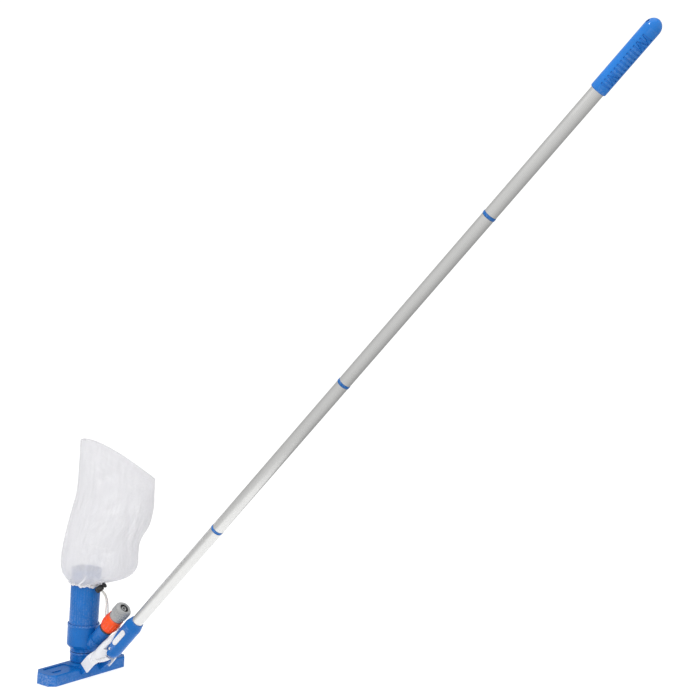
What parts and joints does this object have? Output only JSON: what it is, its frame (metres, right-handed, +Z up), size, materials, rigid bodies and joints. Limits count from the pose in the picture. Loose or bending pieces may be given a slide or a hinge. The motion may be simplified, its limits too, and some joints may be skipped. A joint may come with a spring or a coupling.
{
  "type": "manual vacuum head",
  "caption": "Hose-fed jet vacuum head for small pools: flat suction head, upright tube with mesh debris bag, hose quick connector, and a swivelling yoke with a screwed aluminium handle.",
  "frame": {"origin": "On the floor at the middle of the head, on the glide rib under the sole, below the axis of the upright tube.", "axes": "+X along the head, the axis of the handle's swivel; -Y is the front, the side the handle leans to; +Z is up, along the tube."},
  "size_m": [0.198, 1.0792, 1.1591],
  "materials": {
    "blue_plastic": "glossy moulded ABS",
    "white_nylon": "satin moulded nylon",
    "orange_plastic": "glossy moulded ABS",
    "grey_plastic": "fine matt moulded",
    "black_plastic": "satin moulded",
    "seal_rubber": "soft rubber",
    "spring_steel": "stainless wire",
    "pole_aluminium": "satin anodised, finely fluted",
    "bag_mesh": "fine white polyester mesh",
    "drawcord": "braided ivory cord",
    "bristles": "short nylon bristles"
  },
  "bodies": {
    "head": {"head_shell": "blue_plastic", "sole_plate": "blue_plastic", "bristle_strip_front": "bristles", "bristle_strip_rear": "bristles", "sole_screws": "spring_steel", "locking_collar": "blue_plastic", "neck_seal": "seal_rubber", "venturi_body": "blue_plastic", "jet_ring": "blue_plastic", "tube_gasket": "seal_rubber", "discharge_tube": "blue_plastic", "inlet_nipple": "black_plastic", "inlet_seal": "seal_rubber", "connector_core": "grey_plastic", "collar_spring": "spring_steel", "mesh_bag": "bag_mesh", "bag_drawcord": "drawcord", "drawcord_loop": "drawcord", "cord_lock_body": "black_plastic", "cord_lock_spring": "spring_steel"},
    "latch_claw_left": {"latch_claw_left": "grey_plastic"},
    "latch_claw_right": {"latch_claw_right": "grey_plastic"},
    "connector_collar": {"connector_collar": "orange_plastic"},
    "hose_collet": {"hose_collet": "grey_plastic"},
    "clamp_nut": {"clamp_nut": "grey_plastic"},
    "cord_lock_button": {"cord_lock_button": "black_plastic"},
    "handle": {"yoke": "white_nylon", "pivot_pin_left": "spring_steel", "pivot_pin_right": "spring_steel", "pole_socket": "blue_plastic", "socket_pin": "spring_steel", "lock_spring": "spring_steel", "pole_plug": "white_nylon", "pole_tube_1": "pole_aluminium", "joint_coupler_1": "blue_plastic"},
    "lock_tab_left": {"lock_tab_left": "white_nylon"},
    "lock_tab_right": {"lock_tab_right": "white_nylon"},
    "joint_ring_1": {"joint_ring_1": "blue_plastic"},
    "pole_2": {"pole_tube_2": "pole_aluminium", "joint_insert_1": "blue_plastic", "joint_coupler_2": "blue_plastic"},
    "joint_ring_2": {"joint_ring_2": "blue_plastic"},
    "pole_3": {"pole_tube_3": "pole_aluminium", "joint_insert_2": "blue_plastic", "joint_coupler_3": "blue_plastic"},
    "joint_ring_3": {"joint_ring_3": "blue_plastic"},
    "pole_4": {"pole_tube_4": "pole_aluminium", "joint_insert_3": "blue_plastic", "grip": "blue_plastic"}
  },
  "joints": [
    {"name": "handle_tilt", "type": "hinge", "parent": "head", "child": "handle", "pos_m": [0, -0.04161, 0.03137], "axis": [1, 0, 0], "range_deg": [0, 45]},
    {"name": "collar_slide", "type": "slide", "parent": "head", "child": "connector_collar", "axis": [0, -0.6691, 0.7431], "range_m": [0, 0.004], "stiffness_N_per_m": 700, "springref_m": -0.005, "deforming": ["collar_spring"]},
    {"name": "latch_claw_left_slide", "type": "slide", "parent": "head", "child": "latch_claw_left", "axis": [-1, 0, 0], "range_m": [0, 0.001]},
    {"name": "latch_claw_right_slide", "type": "slide", "parent": "head", "child": "latch_claw_right", "axis": [1, 0, 0], "range_m": [0, 0.001]},
    {"name": "nut_turn", "type": "hinge", "parent": "head", "child": "clamp_nut", "pos_m": [0, -0.09296, 0.13636], "axis": [0, -0.6691, 0.7431], "range_deg": [0, 360]},
    {"name": "collet_travel", "type": "slide", "parent": "head", "child": "hose_collet", "axis": [0, 0.6691, -0.7431], "range_m": [0, 0.0018]},
    {"name": "cord_lock_press", "type": "slide", "parent": "head", "child": "cord_lock_button", "axis": [-0.4047, 0.6233, -0.6691], "range_m": [0, 0.003], "stiffness_N_per_m": 400, "springref_m": -0.004, "deforming": ["cord_lock_spring"]},
    {"name": "lock_tab_left_press", "type": "slide", "parent": "handle", "child": "lock_tab_left", "axis": [1, 0, 0], "range_m": [0, 0.002], "stiffness_N_per_m": 1200, "springref_m": -0.003, "deforming": ["lock_spring"]},
    {"name": "lock_tab_right_press", "type": "slide", "parent": "handle", "child": "lock_tab_right", "axis": [-1, 0, 0], "range_m": [0, 0.002], "stiffness_N_per_m": 1200, "springref_m": -0.003, "deforming": ["lock_spring"]},
    {"name": "section_1_turn", "type": "hinge", "parent": "joint_ring_1", "child": "pole_2", "pos_m": [0, -0.30243, 0.32073], "axis": [0, -0.6561, 0.7547], "range_deg": [0, 720]},
    {"name": "section_1_back_off", "type": "slide", "parent": "handle", "child": "joint_ring_1", "axis": [0, -0.6561, 0.7547], "range_m": [0, 0.008]},
    {"name": "section_2_turn", "type": "hinge", "parent": "joint_ring_2", "child": "pole_3", "pos_m": [0, -0.54386, 0.59847], "axis": [0, -0.6561, 0.7547], "range_deg": [0, 720]},
    {"name": "section_2_back_off", "type": "slide", "parent": "pole_2", "child": "joint_ring_2", "axis": [0, -0.6561, 0.7547], "range_m": [0, 0.008]},
    {"name": "section_3_turn", "type": "hinge", "parent": "joint_ring_3", "child": "pole_4", "pos_m": [0, -0.78529, 0.8762], "axis": [0, -0.6561, 0.7547], "range_deg": [0, 720]},
    {"name": "section_3_back_off", "type": "slide", "parent": "pole_3", "child": "joint_ring_3", "axis": [0, -0.6561, 0.7547], "range_m": [0, 0.008]}
  ],
  "couplings": [
    {"joint": "latch_claw_left_slide", "follows": "collar_slide", "ratio": 0.25},
    {"joint": "latch_claw_right_slide", "follows": "collar_slide", "ratio": 0.25},
    {"joint": "collet_travel", "follows": "nut_turn", "m_per_rad": 0.00028648},
    {"joint": "section_1_turn", "follows": "section_1_back_off", "rad_per_m": 1570.8},
    {"joint": "section_2_turn", "follows": "section_2_back_off", "rad_per_m": 1570.8},
    {"joint": "section_3_turn", "follows": "section_3_back_off", "rad_per_m": 1570.8}
  ]
}
